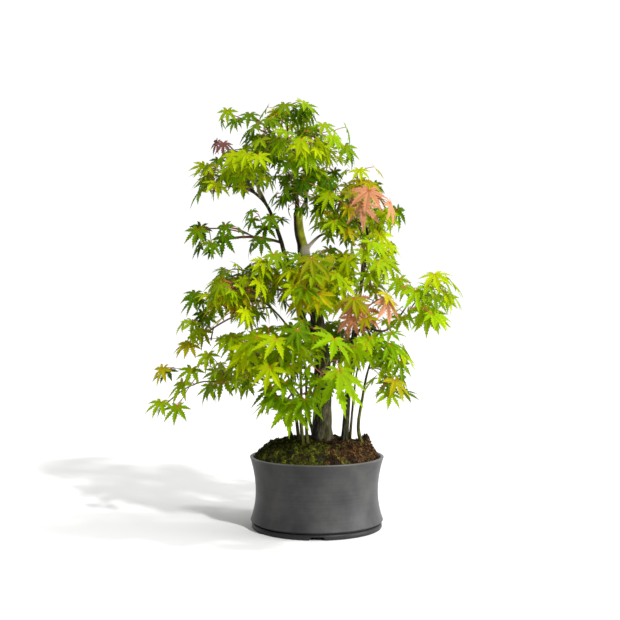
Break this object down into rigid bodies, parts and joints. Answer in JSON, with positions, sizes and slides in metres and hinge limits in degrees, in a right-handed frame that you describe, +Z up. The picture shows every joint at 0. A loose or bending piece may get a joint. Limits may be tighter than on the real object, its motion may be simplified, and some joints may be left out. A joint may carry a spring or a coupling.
{
  "type": "potted japanese maple",
  "caption": "Bonsai clump of slender maple stems with a loose crown of lobed leaves, in a round waisted pot with a mossy mound.",
  "frame": {"origin": "centre of the pot's flat underside", "axes": "+Z up along the stems, -Y towards the front of the plant, +X towards its right as seen from the front"},
  "size_m": [0.4457, 0.3068, 0.5955],
  "materials": {
    "stoneware": "satin",
    "moss": "matte",
    "bark": "matte",
    "leaf_bright_green": "satin",
    "leaf_vivid_green": "satin",
    "leaf_fresh_green": "satin",
    "leaf_deep_green": "satin",
    "leaf_bronze": "satin",
    "leaf_pink": "satin",
    "leaf_purple": "satin"
  },
  "bodies": {
    "root": {"bough_back_high": "bark", "bough_back_low": "bark", "bough_crown_left": "bark", "bough_crown_right": "bark", "bough_knob": "bark", "bough_right_low": "bark", "bough_tall_left": "bark", "leaves_crown_back": "leaf_deep_green", "leaves_crown_front": "leaf_bright_green", "leaves_crown_left": "leaf_fresh_green", "leaves_crown_outer_left": "leaf_deep_green", "leaves_crown_peak": "leaf_fresh_green", "leaves_crown_purple": "leaf_purple", "leaves_crown_right": "leaf_bright_green", "leaves_crown_under": "leaf_deep_green", "leaves_crown_under_right": "leaf_fresh_green", "leaves_low_back_left": "leaf_deep_green", "leaves_low_back_right": "leaf_deep_green", "leaves_low_centre": "leaf_fresh_green", "leaves_low_centre_left": "leaf_bright_green", "leaves_low_front": "leaf_vivid_green", "leaves_low_front_left": "leaf_vivid_green", "leaves_low_left_far": "leaf_fresh_green", "leaves_low_left_front": "leaf_bright_green", "leaves_low_left_mid": "leaf_fresh_green", "leaves_low_right": "leaf_bright_green", "leaves_low_right_hang": "leaf_fresh_green", "leaves_mid_back": "leaf_deep_green", "leaves_mid_bronze": "leaf_pink", "leaves_mid_centre": "leaf_bronze", "leaves_mid_centre_left": "leaf_fresh_green", "leaves_mid_left_back": "leaf_deep_green", "leaves_mid_left_far": "leaf_deep_green", "leaves_mid_left_front": "leaf_bronze", "leaves_mid_left_top": "leaf_fresh_green", "leaves_mid_low_left": "leaf_bronze", "leaves_mid_right": "leaf_bright_green", "leaves_mid_right_centre": "leaf_bright_green", "leaves_right_back": "leaf_deep_green", "leaves_right_edge": "leaf_bright_green", "leaves_right_mid": "leaf_fresh_green", "leaves_right_pink": "leaf_pink", "leaves_right_spray": "leaf_bright_green", "leaves_right_top": "leaf_fresh_green", "leaves_shelf_inner": "leaf_deep_green", "leaves_shelf_left": "leaf_deep_green", "leaves_shoulder_back": "leaf_deep_green", "leaves_shoulder_front": "leaf_bright_green", "leaves_shoulder_left": "leaf_fresh_green", "mound": "moss", "pot": "stoneware", "stem_arching": "bark", "stem_back": "bark", "stem_crossing": "bark", "stem_front": "bark", "stem_left_low": "bark", "stem_right": "bark", "stem_second": "bark", "stem_slim": "bark", "trunk": "bark"}
  },
  "joints": []
}
